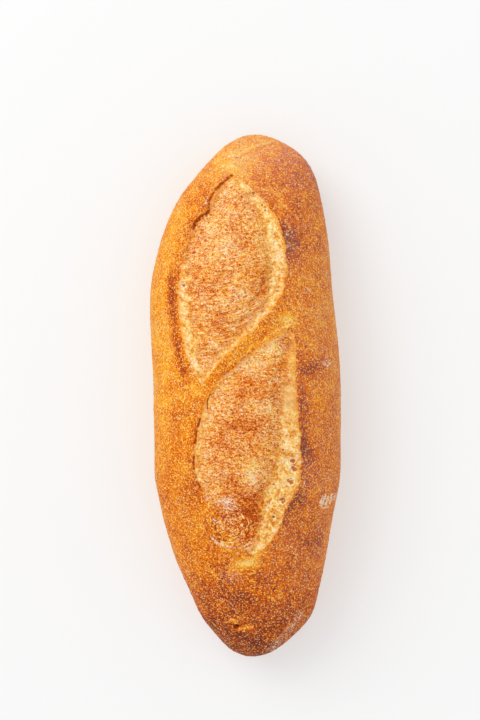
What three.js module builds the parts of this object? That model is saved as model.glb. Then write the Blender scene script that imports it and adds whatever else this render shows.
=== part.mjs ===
// A rustic bread loaf, shaped by hand and baked on a flat hearth. Millimetres, +Z up.
// It lies along Y on its flat base, with the origin under its middle. Two slashes cut in the raw
// dough have opened in the oven: dough swelled up between their rims, and the crust lifted in lips.
import * as THREE from "three";
import { mergeVertices } from "three/addons/utils/BufferGeometryUtils.js";

// Whole loaf
const LENGTH = 302;
const WIDTH = 108;
const CREST_HEIGHT = 70; // top of the dome, before the slashes raise it
const WAIST_HEIGHT = 27; // the widest line, above the base
const WAIST_DROP = 4; // how much lower that line lies at the two tips
const SAG = 14; // how far the raw dough's underside would hang below the hearth
const FOOT_BLEND = 4; // height over which the flank turns into the flat base

// Each end is a power curve: reach sets where it starts to close, roundness how blunt the tip is
const FAR_END = { outline: { reach: 3.15, roundness: 1.9 }, crest: { reach: 2.6, roundness: 1.9 } };
const NEAR_END = { outline: { reach: 2.2, roundness: 1.95 }, crest: { reach: 2.1, roundness: 1.9 } };
const UNDERSIDE = { reach: 4.4, roundness: 2 };
const DOME_POWER = 2.2; // 2 is an ellipse, more is squarer
const FLANK_POWER = 2.6;

// What hand shaping did to the outline: sideways leans of the middle line, and swellings of both sides
const LEANS = [
  { at: 138, reach: 22, by: 6.2 },
  { at: 61, reach: 35, by: -3.5 },
  { at: -128, reach: 34, by: 4.8 },
];
const SWELLINGS = [
  { at: -47, reach: 16, by: 1.4 },
  { at: -127, reach: 11, by: 1.6 },
];
const SWELLING_FADE = 0.5; // share of the full width below which a swelling fades out towards the tip

// The two slashes: each rim runs from the far tip of its slash to the near tip, as seen from above.
// Along a rim the crust lifts in a lip, and the opened dough lies in a trough of the given width.
const FAR_SLASH = {
  left: {
    lift: 1.8,
    trough: 5.5,
    points: [
      [-5.5, 126], [-14, 119.5], [-19.5, 111.5], [-22.5, 104.5], [-28.5, 100.5], [-31.5, 94], [-35, 82],
      [-38.5, 63], [-38.5, 48], [-36, 30.5], [-32, 17], [-25.5, 6],
    ],
  },
  right: {
    lift: 1.5,
    trough: 7,
    points: [
      [-5.5, 126], [3.5, 117], [11.5, 107], [18, 94.5], [21, 80.5], [21, 67.5],
      [18, 55.5], [10.8, 45.5], [0.3, 34.5], [-13, 21.5], [-25.5, 6],
    ],
  },
};
const NEAR_SLASH = {
  left: {
    lift: 1.2,
    trough: 4.5,
    points: [
      [25, 40.5], [14.5, 33.6], [3.4, 26.2], [-7.6, 16.7], [-17.4, 8], [-23, -1.5], [-27, -12.5],
      [-29, -26.5], [-30, -39], [-27, -53], [-21.5, -65.5], [-13, -78], [0, -93],
    ],
  },
  right: {
    lift: 2,
    trough: 10,
    points: [
      [25, 40.5], [26.5, 29], [26.5, 14], [27, -1.5], [28.5, -18], [29, -32],
      [29, -43], [26.5, -52], [21.5, -60.5], [18, -71.5], [11, -82.5], [0, -93],
    ],
  },
};
const LIP_REACH = 7; // how far back from a rim the lifted crust slopes down
const WALL_REACH = 3.6; // how far in from a rim the torn wall ends on the opened dough
const TROUGH_DEPTH = 2.6;
const BLOOM_HEIGHT = 2.6; // how far the opened dough swells up between the rims
const BLOOM_REACH = 12;
const TIP_FADE = 0.6; // power of the fade from the middle of a slash to its tips

// Folds where the dough was tucked in at the two ends
const FOLDS = [
  { from: [-10, 139], to: [15, 145], depth: 1.2, reach: 4 },
  { from: [-11, -129], to: [6, -126.5], depth: 1.4, reach: 4 },
];

// Mesh: a box with this many cells is inflated to the loaf
const CELLS_ACROSS = 26;
const CELLS_ALONG = 64;
const CELLS_UP = 12;
const OUTLINE_SAMPLES = 400;
const RIM_SAMPLES = 90;
const UPWARD = 0.15; // where the surface is steeper than this it takes no relief
const BOX_FACE = 1 - 1e-6; // a coordinate beyond this lies on a face of the box

const HALF_LENGTH = LENGTH / 2;

const bump = (distance) => Math.exp(-distance * distance);
const powerCurve = (t, { reach, roundness }) =>
  Math.max(0, 1 - Math.abs(t) ** reach) ** (1 / roundness);
const endOf = (t) => (t > 0 ? FAR_END : NEAR_END);
const sumOfBumps = (list, y) =>
  list.reduce((sum, { at, reach, by }) => sum + by * bump((y - at) / reach), 0);

// Half the loaf's width at t, which runs from -1 at the near tip to 1 at the far tip
function halfWidth(t) {
  const fullness = powerCurve(t, endOf(t).outline);
  const swelling = sumOfBumps(SWELLINGS, t * HALF_LENGTH) * Math.min(1, fullness / SWELLING_FADE);
  return (WIDTH / 2) * fullness + swelling;
}

// Stations from the middle to a tip, evenly spaced along the outline: share 0 to 1 gives |t|
function stationTable(sign) {
  const table = [{ t: 0, length: 0 }];
  for (let i = 1; i <= OUTLINE_SAMPLES; i++) {
    const t = Math.sin((i / OUTLINE_SAMPLES) * (Math.PI / 2));
    const last = table[i - 1];
    const step = Math.hypot(
      (t - last.t) * HALF_LENGTH,
      halfWidth(sign * t) - halfWidth(sign * last.t),
    );
    table.push({ t, length: last.length + step });
  }
  return table;
}
const STATIONS = { 1: stationTable(1), [-1]: stationTable(-1) };

function stationAt(share, sign) {
  const table = STATIONS[sign];
  const wanted = share * table[OUTLINE_SAMPLES].length;
  const i = Math.max(1, table.findIndex(({ length }) => length >= wanted));
  const [a, b] = [table[i - 1], table[i]];
  return sign * THREE.MathUtils.mapLinear(wanted, a.length, b.length, a.t, b.t);
}

// The dough settles on the hearth: what would lie below it becomes the flat base, with a soft edge
function settle(z) {
  if (z <= -FOOT_BLEND) return 0;
  if (z >= FOOT_BLEND) return z;
  return (z + FOOT_BLEND) ** 2 / (4 * FOOT_BLEND);
}

// A point of the smooth loaf: t along it, and turn from the crest (0) by the waist (1) to the base (2)
function smoothLoaf(t, turn, side) {
  const waist = WAIST_HEIGHT - WAIST_DROP * t * t;
  const angle = (turn * Math.PI) / 2;
  const power = turn <= 1 ? DOME_POWER : FLANK_POWER;
  const out = Math.abs(Math.sin(angle)) ** (2 / power);
  const up = Math.abs(Math.cos(angle)) ** (2 / power);
  const rise = (CREST_HEIGHT - WAIST_HEIGHT) * powerCurve(t, endOf(t).crest);
  const fall = (WAIST_HEIGHT + SAG) * powerCurve(t, UNDERSIDE);
  const y = t * HALF_LENGTH;
  return new THREE.Vector3(
    sumOfBumps(LEANS, y) + side * halfWidth(t) * out,
    y,
    settle(turn <= 1 ? waist + rise * up : waist - fall * up),
  );
}

// A point of the box, each coordinate from -1 to 1, becomes a point of the smooth loaf.
// The box's top and sides make the dome down to the waist, its underside makes the flank and base,
// and the square rings of its two end faces close the tips.
function inflate({ x, y, z }) {
  const onEnd = Math.abs(y) > BOX_FACE;
  const ring = onEnd ? Math.max(Math.abs(x), Math.abs(z)) : 1;
  const [u, v] = ring > 0 ? [x / ring, z / ring] : [0, 1];
  const endCells = (CELLS_ACROSS + CELLS_UP) / 4;
  const cells = Math.abs(y) * (CELLS_ALONG / 2) + (1 - ring) * endCells;
  const t = stationAt(cells / (CELLS_ALONG / 2 + endCells), y < 0 ? -1 : 1);
  const halfTop = CELLS_ACROSS / 2;
  let turn;
  if (v > BOX_FACE) turn = (Math.abs(u) * halfTop) / (halfTop + CELLS_UP);
  else if (v > -BOX_FACE) turn = (halfTop + (CELLS_UP * (1 - v)) / 2) / (halfTop + CELLS_UP);
  else turn = 2 - Math.abs(u);
  return smoothLoaf(t, turn, Math.sign(u));
}

// A rim as a row of points, each with its share of the full relief
function rimOf({ points, ...sizes }) {
  const curve = new THREE.SplineCurve(points.map(([x, y]) => new THREE.Vector2(x, y)));
  const line = curve.getPoints(RIM_SAMPLES).map(({ x, y }) => new THREE.Vector3(x, y, 0));
  const shares = line.map((_, i) => Math.abs(Math.sin((i / RIM_SAMPLES) * Math.PI)) ** TIP_FADE);
  return { ...sizes, line, shares };
}

// The point of a line nearest to a place in plan, its distance, and which stretch it lies on
function nearestOn(line, place) {
  const stretch = new THREE.Line3();
  let best = { distance: Infinity };
  for (let i = 1; i < line.length; i++) {
    const along = stretch.set(line[i - 1], line[i]).closestPointToPointParameter(place, true);
    const point = stretch.at(along, new THREE.Vector3());
    const distance = point.distanceTo(place);
    if (distance < best.distance) best = { point, distance, at: i - 1 + along };
  }
  return best;
}

function nearestRim(rim, place) {
  const found = nearestOn(rim.line, place);
  const i = Math.min(Math.floor(found.at), RIM_SAMPLES - 1);
  return { ...found, share: THREE.MathUtils.lerp(rim.shares[i], rim.shares[i + 1], found.at - i) };
}

const SLASHES = [FAR_SLASH, NEAR_SLASH].map(({ left, right }) => [rimOf(left), rimOf(right)]);
const FOLD_LINES = FOLDS.map(({ from, to, ...sizes }) => ({
  ...sizes,
  line: [from, to].map(([x, y]) => new THREE.Vector3(x, y, 0)),
}));

function isBetween([left, right], { x, y }) {
  const outline = [...left.line, ...[...right.line].reverse()];
  let inside = false;
  outline.forEach((a, i) => {
    const b = outline[(i + 1) % outline.length];
    if (a.y > y !== b.y > y && x < a.x + ((y - a.y) * (b.x - a.x)) / (b.y - a.y)) inside = !inside;
  });
  return inside;
}

// The opened dough between two rims: swollen in the middle, low along the rims, torn up to the lips
function openedDough(near) {
  let height = BLOOM_HEIGHT;
  for (const { share, distance } of near) height *= share * (1 - bump(distance / BLOOM_REACH));
  for (const { share, distance, trough } of near) height -= TROUGH_DEPTH * share * bump(distance / trough);
  for (const { share, distance, lift } of near) {
    height = THREE.MathUtils.lerp(lift * share, height, Math.min(1, distance / WALL_REACH));
  }
  return height;
}

// How far the crust or the opened dough stands off the smooth loaf at a place in plan
function relief(place) {
  let height = 0;
  for (const rims of SLASHES) {
    const near = rims.map((rim) => ({ ...rim, ...nearestRim(rim, place) }));
    if (isBetween(rims, place)) return openedDough(near);
    for (const { share, distance, lift } of near) {
      height = Math.max(height, lift * share * Math.exp(-distance / LIP_REACH));
    }
  }
  for (const { line, depth, reach } of FOLD_LINES) {
    height -= depth * bump(nearestOn(line, place).distance / reach);
  }
  return height;
}

// Moves mesh points within the surface, so that the rims run along mesh edges: of each edge that
// crosses a rim the nearer end goes onto it, the nearest ones first. Gives the points moved.
function alignToRims(points, normals, quads) {
  const edges = quads.flatMap(([a, b, c, d]) => [[a, b], [b, c], [c, d], [d, a]]);
  const moved = new Set();
  for (const rims of SLASHES) {
    const found = points.map((point, i) => {
      if (normals[i].z < UPWARD) return { offset: -Infinity };
      const place = new THREE.Vector3(point.x, point.y, 0);
      const [one, other] = rims.map(({ line }) => nearestOn(line, place));
      const nearest = one.distance < other.distance ? one : other;
      return { point: nearest.point, offset: nearest.distance * (isBetween(rims, place) ? 1 : -1) };
    });
    const gap = (i) => Math.abs(found[i].offset);
    const crossing = edges.filter(([a, b]) => a < b && found[a].offset * found[b].offset < 0);
    crossing.sort((e, f) => Math.min(...e.map(gap)) - Math.min(...f.map(gap)));
    for (const [a, b] of crossing) {
      if (moved.has(a) || moved.has(b)) continue;
      const i = gap(a) < gap(b) ? a : b;
      const [dx, dy] = [found[i].point.x - points[i].x, found[i].point.y - points[i].y];
      const dz = -(normals[i].x * dx + normals[i].y * dy) / normals[i].z;
      points[i].add(new THREE.Vector3(dx, dy, dz));
      moved.add(i);
    }
  }
  return moved;
}

// Each quad's two triangles, split along b-d unless a rim passes from a to c or bends round one of them
function triangles([a, b, c, d], onRim) {
  const [atA, atB, atC, atD] = [a, b, c, d].map((i) => onRim.has(i));
  const across = atA && atC && !atB && !atD;
  const bend = atB && atD && atA !== atC;
  return across || bend ? [a, b, c, a, c, d] : [a, b, d, b, c, d];
}

const vectorsOf = (attribute) =>
  Array.from({ length: attribute.count }, (_, i) => new THREE.Vector3().fromBufferAttribute(attribute, i));

// The box's index lists each quad as the triangles a b d and b c d
function quadsOf({ array }) {
  return Array.from({ length: array.length / 6 }, (_, i) => {
    const [a, b, d, , c] = array.slice(6 * i, 6 * i + 6);
    return [a, b, c, d];
  });
}

function loafGeometry() {
  const box = new THREE.BoxGeometry(2, 2, 2, CELLS_ACROSS, CELLS_ALONG, CELLS_UP);
  box.deleteAttribute("normal");
  box.deleteAttribute("uv");
  const loaf = mergeVertices(box);
  const points = vectorsOf(loaf.getAttribute("position")).map(inflate);
  loaf.setFromPoints(points).computeVertexNormals();
  const normals = vectorsOf(loaf.getAttribute("normal"));
  const quads = quadsOf(loaf.getIndex());
  const onRim = alignToRims(points, normals, quads);
  points.forEach((point, i) => {
    if (normals[i].z < UPWARD) return;
    point.addScaledVector(normals[i], relief(new THREE.Vector3(point.x, point.y, 0)));
  });
  loaf.setIndex(quads.flatMap((quad) => triangles(quad, onRim)));
  loaf.setFromPoints(points).computeBoundingBox();
  const middle = loaf.boundingBox.getCenter(new THREE.Vector3());
  loaf.translate(-middle.x, -middle.y, -loaf.boundingBox.min.z);
  loaf.computeVertexNormals();
  return loaf;
}

const crust = new THREE.MeshStandardMaterial({ color: 0xc87a32, roughness: 0.75, metalness: 0 });
const loaf = new THREE.Mesh(loafGeometry(), crust);
loaf.name = "loaf";

const bread = new THREE.Group();
bread.add(loaf);

export default bread;
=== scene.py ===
import math

import bmesh
import bpy
import numpy as np
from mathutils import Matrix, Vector


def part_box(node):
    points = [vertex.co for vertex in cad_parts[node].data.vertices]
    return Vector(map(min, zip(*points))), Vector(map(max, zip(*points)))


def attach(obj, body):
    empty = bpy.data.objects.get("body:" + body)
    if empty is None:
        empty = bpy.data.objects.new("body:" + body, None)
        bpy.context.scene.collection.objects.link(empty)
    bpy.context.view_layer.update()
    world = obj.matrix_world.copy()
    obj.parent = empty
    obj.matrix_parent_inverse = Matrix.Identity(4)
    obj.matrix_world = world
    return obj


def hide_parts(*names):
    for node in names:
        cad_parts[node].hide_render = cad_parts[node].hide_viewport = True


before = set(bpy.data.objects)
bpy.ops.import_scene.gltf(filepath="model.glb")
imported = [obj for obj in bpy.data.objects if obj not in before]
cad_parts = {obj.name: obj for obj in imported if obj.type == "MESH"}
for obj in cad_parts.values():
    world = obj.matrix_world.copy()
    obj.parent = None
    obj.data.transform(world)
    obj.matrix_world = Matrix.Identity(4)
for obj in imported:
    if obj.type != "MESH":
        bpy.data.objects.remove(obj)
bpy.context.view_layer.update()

# The dough
# Half a kilogram of wheat dough, rolled by hand into a blunt cigar and set on a hot hearth. It spread
# to a flat foot, stayed widest at its waist and domed up above it. Sizes are in millimetres.
MM = 0.001
LENGTH = 302
WIDTH = 108
CREST_HEIGHT = 70
WAIST_HEIGHT = 27
WAIST_DROP = 4
SAG = 14
FOOT_BLEND = 4
FAR_END = {"outline": (3.15, 1.9), "crest": (2.6, 1.9)}
NEAR_END = {"outline": (2.2, 1.95), "crest": (2.1, 1.9)}
UNDERSIDE = (4.4, 2)
DOME_POWER = 2.2
FLANK_POWER = 2.6
LEANS = [(138, 22, 6.2), (61, 35, -3.5), (-128, 34, 4.8)]
SWELLINGS = [(-47, 16, 1.4), (-127, 11, 1.6)]
SWELLING_FADE = 0.5
HALF_LENGTH = LENGTH / 2

# The surface starts as a box with no underside, cut into cells that are finest over the top
CELLS_ACROSS = 56
CELLS_DOWN = 66
CELLS_ALONG = 232
CELL_GROWTH = 0.35
TIP_START = 0.85
FOOT_TURN = 1.6
BOX_FACE = 1 - 1e-5
CURVE_SAMPLES = 400
SAME_POINT = 1e-6


def bump(distance):
    return np.exp(-distance * distance)


def power_curve(t, curve):
    reach, roundness = curve
    return np.maximum(0, 1 - np.abs(t) ** reach) ** (1 / roundness)


def end_curve(t, name):
    return np.where(t > 0, power_curve(t, FAR_END[name]), power_curve(t, NEAR_END[name]))


def sum_of_bumps(bumps, y):
    return sum(by * bump((y - at) / reach) for at, reach, by in bumps)


def half_width(t):
    fullness = end_curve(t, "outline")
    swelling = sum_of_bumps(SWELLINGS, t * HALF_LENGTH) * np.minimum(1, fullness / SWELLING_FADE)
    return WIDTH / 2 * fullness + swelling


def settle(z):
    """The dough on the hearth: what would hang below it becomes the flat foot, with a soft edge."""
    soft = (z + FOOT_BLEND) ** 2 / (4 * FOOT_BLEND)
    return np.where(z <= -FOOT_BLEND, 0, np.where(z >= FOOT_BLEND, z, soft))


def smooth_loaf(t, turn, side):
    """Points of the smooth loaf: t from tip to tip, turn from crest (0) by waist (1) to base (2)."""
    waist = WAIST_HEIGHT - WAIST_DROP * t * t
    angle = turn * math.pi / 2
    power = np.where(turn <= 1, DOME_POWER, FLANK_POWER)
    out = np.abs(np.sin(angle)) ** (2 / power)
    up = np.abs(np.cos(angle)) ** (2 / power)
    rise = (CREST_HEIGHT - WAIST_HEIGHT) * end_curve(t, "crest")
    fall = (WAIST_HEIGHT + SAG) * power_curve(t, UNDERSIDE)
    y = t * HALF_LENGTH
    x = sum_of_bumps(LEANS, y) + side * half_width(t) * out
    z = settle(waist + np.where(turn <= 1, rise, -fall) * up)
    return np.stack([x, y, z], axis=-1)


def lengths_along(points):
    steps = np.linalg.norm(np.diff(points, axis=0), axis=1)
    return np.concatenate([[0], np.cumsum(steps)])


def turn_of_cell(cell):
    """How far round the section a cell lies, with cells that grow from the crest to the foot."""
    turns = np.linspace(0, FOOT_TURN, CURVE_SAMPLES)
    lengths = lengths_along(smooth_loaf(np.zeros(CURVE_SAMPLES), turns, np.ones(CURVE_SAMPLES)))
    share = cell / (CELLS_ACROSS / 2 + CELLS_DOWN)
    share = (1 - CELL_GROWTH) * share + CELL_GROWTH * share ** 3
    return np.interp(share * lengths[-1], lengths, turns)


def station_in_tip(share, sign):
    """How far along a tip lies a ring, with rings evenly spaced along the outline."""
    angles = np.linspace(0, math.pi / 2, CURVE_SAMPLES)
    stations = TIP_START + (1 - TIP_START) * np.sin(angles)
    outline = np.stack([half_width(sign * stations), stations * HALF_LENGTH], axis=-1)
    lengths = lengths_along(outline)
    return np.interp(share * lengths[-1], lengths, stations)


def inflate(box):
    """Turns points of the box, each coordinate from -1 to 1, into points of the smooth loaf."""
    x, y, z = box.T
    on_end = np.abs(y) > BOX_FACE
    ring = np.where(on_end, np.maximum(np.abs(x), np.abs(z)), 1)
    is_tip = ring < SAME_POINT
    u = x / np.where(is_tip, 1, ring)
    v = np.where(is_tip, 1, z / np.where(is_tip, 1, ring))
    in_tip = np.where(y > 0, station_in_tip(1 - ring, 1), station_in_tip(1 - ring, -1))
    t = np.sign(y) * np.where(on_end, in_tip, np.abs(y) * TIP_START)
    half_top = CELLS_ACROSS / 2
    cell = np.where(v > BOX_FACE, np.abs(u) * half_top, half_top + CELLS_DOWN * (1 - v) / 2)
    under = 2 - np.abs(u) * (2 - FOOT_TURN)
    turn = np.where(v < -BOX_FACE, under, turn_of_cell(cell))
    return smooth_loaf(t, turn, np.sign(u))


def open_box():
    """A box with no underside, cut into cells."""
    sheets = (
        ((-1, -1, 1), (2, 0, 0), (0, 2, 0), CELLS_ACROSS, CELLS_ALONG),
        ((1, -1, -1), (0, 2, 0), (0, 0, 2), CELLS_ALONG, CELLS_DOWN),
        ((-1, 1, -1), (0, -2, 0), (0, 0, 2), CELLS_ALONG, CELLS_DOWN),
        ((1, 1, -1), (-2, 0, 0), (0, 0, 2), CELLS_ACROSS, CELLS_DOWN),
        ((-1, -1, -1), (2, 0, 0), (0, 0, 2), CELLS_ACROSS, CELLS_DOWN),
    )
    made = bmesh.new()
    for corner, across, along, cells_u, cells_v in sheets:
        corner, across, along = Vector(corner), Vector(across), Vector(along)
        rows = []
        for j in range(cells_v + 1):
            start = corner + along * (j / cells_v)
            rows.append([made.verts.new(start + across * (i / cells_u)) for i in range(cells_u + 1)])
        for low, high in zip(rows, rows[1:]):
            for i in range(cells_u):
                made.faces.new((low[i], low[i + 1], high[i + 1], high[i]))
    bmesh.ops.remove_doubles(made, verts=made.verts, dist=SAME_POINT)
    return made


def box_points(made):
    return np.array([vert.co for vert in made.verts], float)


dough = open_box()

# The slashes
# Two long cuts, made aslant with a blade before baking, that tore open in the oven. The crust lifted in
# lips along their rims, and the soft dough swelled up between them, torn and low beside the rims.
FAR_LEFT, FAR_RIGHT, NEAR_LEFT, NEAR_RIGHT = range(4)

# Each rim's points, and its sizes at shares of its length from the far tip to the near one: how high the
# lip is, how wide the torn wall, how deep the trough beside it, how wide the pale crumb, how much browner
# the lip, which along the two left rims is partly painted shade beside the lip, and how wide a soft edge
# where the crust did not tear
RIMS = {
    FAR_LEFT: {
        "points": [
            (-5.5, 126), (-14, 119.5), (-19.5, 111.5), (-22.5, 104.5), (-28.5, 100.5), (-31.5, 94),
            (-35, 82), (-38.5, 63), (-38.5, 48), (-36, 30.5), (-32, 17), (-25.5, 6),
        ],
        "lip": [(0, 0), (0.08, 0.7), (0.2, 1.2), (0.32, 0.8), (0.45, 0.5), (0.9, 0.5), (1, 0)],
        "wall": [(0, 1.8), (0.4, 1.8), (0.55, 4.5), (1, 4.5)],
        "trough": [(0, 0), (0.1, 0.9), (0.25, 1.2), (0.4, 0.8), (0.55, 0.9), (0.9, 0.8), (1, 0)],
        "pale": [(0, -8), (0.34, -8), (0.44, 1), (0.5, 5), (0.58, 6.5), (0.85, 6.5), (1, 3)],
        "burn_and_shade": [
            (0, 0), (0.1, 0.15), (0.28, 0.25), (0.36, 0.2), (0.5, 0.2), (0.6, 0.1), (0.9, 0.1), (1, 0),
        ],
        "soft": [(0, 0), (1, 0)],
    },
    FAR_RIGHT: {
        "points": [
            (-5.5, 126), (3.5, 117), (11.5, 107), (18, 94.5), (21, 80.5), (21, 67.5),
            (18, 55.5), (10.8, 45.5), (0.3, 34.5), (-13, 21.5), (-25.5, 6),
        ],
        "lip": [(0, 0), (0.15, 0.5), (0.3, 1.3), (0.5, 1.1), (0.65, 1.3), (0.92, 1.1), (1, 0)],
        "wall": [(0, 2.5), (0.15, 4), (0.3, 8), (0.45, 7), (0.55, 5), (0.65, 2.5), (1, 2.5)],
        "trough": [(0, 0), (0.1, 1), (0.3, 1.8), (0.5, 1.8), (0.7, 1.6), (0.95, 1), (1, 0)],
        "pale": [
            (0, 4), (0.06, 5.5), (0.12, 6), (0.2, 7), (0.3, 9.5), (0.4, 9), (0.5, 8.5), (0.57, 5.5),
            (0.63, 4.2), (0.92, 3.6), (1, 2),
        ],
        "burn_and_shade": [
            (0, 0), (0.12, 0.05), (0.2, 0.15), (0.26, 0.45), (0.36, 0.45), (0.43, 0.25), (0.6, 0.1),
            (0.68, 0), (1, 0),
        ],
        "soft": [(0, 4), (0.1, 2), (0.2, 0), (1, 0)],
    },
    NEAR_LEFT: {
        "points": [
            (25, 40.5), (14.5, 33.6), (3.4, 26.2), (-7.6, 16.7), (-17.4, 8), (-23, -1.5), (-27, -12.5),
            (-29, -26.5), (-30, -39), (-27, -53), (-21.5, -65.5), (-13, -78), (0, -93),
        ],
        "lip": [
            (0, 0), (0.08, 0.4), (0.3, 0.5), (0.42, 0.4), (0.55, 0.5), (0.66, 0.4), (0.78, 0.1), (1, 0),
        ],
        "wall": [(0, 4), (0.3, 4), (0.38, 2), (0.66, 2), (0.8, 6), (1, 6)],
        "trough": [(0, 0), (0.08, 0.5), (0.3, 0.6), (0.5, 0.6), (0.66, 0.5), (0.8, 0.3), (1, 0)],
        "pale": [
            (0, -8), (0.32, -8), (0.37, 2.5), (0.45, 3.2), (0.5, 2.4), (0.6, 3.8), (0.68, 3.2), (0.73, 0),
            (0.8, -3), (1, -3),
        ],
        "burn_and_shade": [
            (0, 0), (0.05, 0.12), (0.3, 0.2), (0.4, 0.1), (0.5, 0.25), (0.6, 0.15), (0.7, 0.3), (0.76, 0),
            (1, 0),
        ],
        "soft": [(0, 0), (0.64, 0), (0.76, 7), (1, 9)],
    },
    NEAR_RIGHT: {
        "points": [
            (25, 40.5), (26.5, 29), (26.5, 14), (27, -1.5), (28.5, -18), (29, -32),
            (29, -43), (26.5, -52), (21.5, -60.5), (18, -71.5), (11, -82.5), (0, -93),
        ],
        "lip": [(0, 0), (0.1, 0.9), (0.4, 1.5), (0.65, 1.7), (0.8, 1.1), (0.92, 0.4), (1, 0)],
        "wall": [(0, 3), (0.1, 5), (0.3, 9), (0.5, 14), (0.7, 15), (0.8, 12), (1, 4)],
        "trough": [(0, 0), (0.08, 1.2), (0.3, 1.8), (0.6, 2.2), (0.8, 1.8), (1, 0)],
        "pale": [
            (0, 0.5), (0.08, 3.5), (0.2, 6), (0.3, 9), (0.42, 11), (0.55, 14), (0.7, 15), (0.78, 13.5),
            (0.86, 9), (0.93, 5), (1, 1),
        ],
        "burn_and_shade": [
            (0, 0), (0.08, 0.1), (0.2, 0.2), (0.4, 0.3), (0.5, 0.35), (0.68, 0.35), (0.76, 0.4),
            (0.85, 0.2), (0.92, 0), (1, 0),
        ],
        "soft": [(0, 0), (0.9, 0), (0.96, 3), (1, 5)],
    },
}
SLASHES = ((FAR_LEFT, FAR_RIGHT), (NEAR_LEFT, NEAR_RIGHT))
RIM_STEPS = 12
RIM_WANDER = ((11, 0.45, 0.0), (27, 0.3, 1.3), (53, 0.2, 2.1))
LIP_REACH = 6
BLOOM_HEIGHT = 2.6
BLOOM_REACH = 12
TROUGH_REACH = 5
TIP_FADE = 0.6
UPWARD = 0.15
FINE_MARGIN = 1.6
ON_RIM = 0.02
SHARPEST_EDGE = 1e-3
PLACES_AT_ONCE = 8000


def through(points):
    """A smooth line through the points, as a row of closely spaced ones."""
    points = np.array(points, float)
    before = np.vstack([points[:1], points[:-2]])
    after = np.vstack([points[2:], points[-1:]])
    line = []
    for a, b, c, d in zip(before, points[:-1], points[1:], after):
        for share in np.arange(RIM_STEPS) / RIM_STEPS:
            slope_b, slope_c = (c - a) / 2, (d - b) / 2
            cubic = 2 * b - 2 * c + slope_b + slope_c
            square = -3 * b + 3 * c - 2 * slope_b - slope_c
            line.append(((cubic * share + square) * share + slope_b) * share + b)
    line.append(points[-1])
    return np.array(line)


def torn(line):
    """The line with the small wander of a torn edge, none at its two ends."""
    along = lengths_along(line) / lengths_along(line)[-1]
    sideways = np.gradient(line, axis=0)[:, ::-1] * (1, -1)
    sideways /= np.linalg.norm(sideways, axis=1, keepdims=True)
    wander = sum(size * np.sin(2 * math.pi * turns * along + start) for turns, size, start in RIM_WANDER)
    return line + sideways * (wander * np.sin(math.pi * along))[:, None]


def nearest_on(line, places):
    """For each place the distance to the line, how far along it that is (0 to 1), and the point there."""
    starts, spans = line[:-1], np.diff(line, axis=0)
    lengths = lengths_along(line)
    found = []
    for some in np.array_split(places, max(1, len(places) // PLACES_AT_ONCE)):
        share = ((some[:, None] - starts) * spans).sum(2) / (spans * spans).sum(1)
        share = np.clip(share, 0, 1)
        points = starts + share[..., None] * spans
        gaps = np.linalg.norm(some[:, None] - points, axis=2)
        best = gaps.argmin(1)
        rows = np.arange(len(some))
        along = (lengths[best] + share[rows, best] * (lengths[best + 1] - lengths[best])) / lengths[-1]
        found.append(np.column_stack([gaps[rows, best], along, points[rows, best]]))
    found = np.vstack(found)
    return found[:, 0], found[:, 1], found[:, 2:]


def is_between(left, right, places):
    outline = np.vstack([left, right[::-1]])
    x, y = places.T
    inside = np.zeros(len(places), bool)
    for a, b in zip(outline, np.roll(outline, -1, axis=0)):
        if a[1] == b[1]:
            continue
        crosses = (a[1] > y) != (b[1] > y)
        inside ^= crosses & (x < a[0] + (y - a[1]) * (b[0] - a[0]) / (b[1] - a[1]))
    return inside


def ease(value):
    """0 below 0, 1 above 1, and a soft step between."""
    value = np.clip(value, 0, 1)
    return value * value * (3 - 2 * value)


lines = {rim: torn(through(sizes["points"])) for rim, sizes in RIMS.items()}


def near_slashes(places, reach):
    """Which places lie in a slash or within reach of its rims."""
    chosen = np.zeros(len(places), bool)
    for left, right in SLASHES:
        outline = np.vstack([lines[left], lines[right]])
        low, high = outline.min(0) - reach, outline.max(0) + reach
        rows = np.flatnonzero(((places > low) & (places < high)).all(1))
        some = places[rows]
        gap = np.minimum(nearest_on(lines[left], some)[0], nearest_on(lines[right], some)[0])
        chosen[rows] |= is_between(lines[left], lines[right], some) | (gap < reach)
    return chosen


# Cells in and beside the slashes, and at a few small marks, are halved
FINE_MARKS = [
    (45.5, -60, 8), (-5, -128, 10), (-16, -79, 9), (18.5, 107, 4), (-12, -102, 13), (-8, 138, 8),
    (4, 142, 8), (-40, 50, 8), (-40, 36, 8), (-38, 22, 7), (14, 37, 8),
]
places = inflate(box_points(dough))
fine = near_slashes(places[:, :2], FINE_MARGIN)
for x, y, reach in FINE_MARKS:
    fine |= np.hypot(places[:, 0] - x, places[:, 1] - y) < reach
fine &= box_points(dough)[:, 2] > 0
dough.verts.ensure_lookup_table()
fine_edges = [edge for edge in dough.edges if fine[edge.verts[0].index] and fine[edge.verts[1].index]]
bmesh.ops.subdivide_edges(dough, edges=fine_edges, cuts=1, use_grid_fill=True)

# The flat base closes the box, and the box becomes the smooth loaf
foot_edges = [edge for edge in dough.edges if edge.is_boundary]
base = bmesh.ops.holes_fill(dough, edges=foot_edges, sides=0)
bmesh.ops.triangulate(dough, faces=base["faces"])
bmesh.ops.recalc_face_normals(dough, faces=dough.faces)
points = inflate(box_points(dough))
for vert, point in zip(dough.verts, points):
    vert.co = point
dough.normal_update()
normals = np.array([vert.normal for vert in dough.verts], float)
edges = np.array([[vert.index for vert in edge.verts] for edge in dough.edges])
top = np.flatnonzero(normals[:, 2] > UPWARD)

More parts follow.
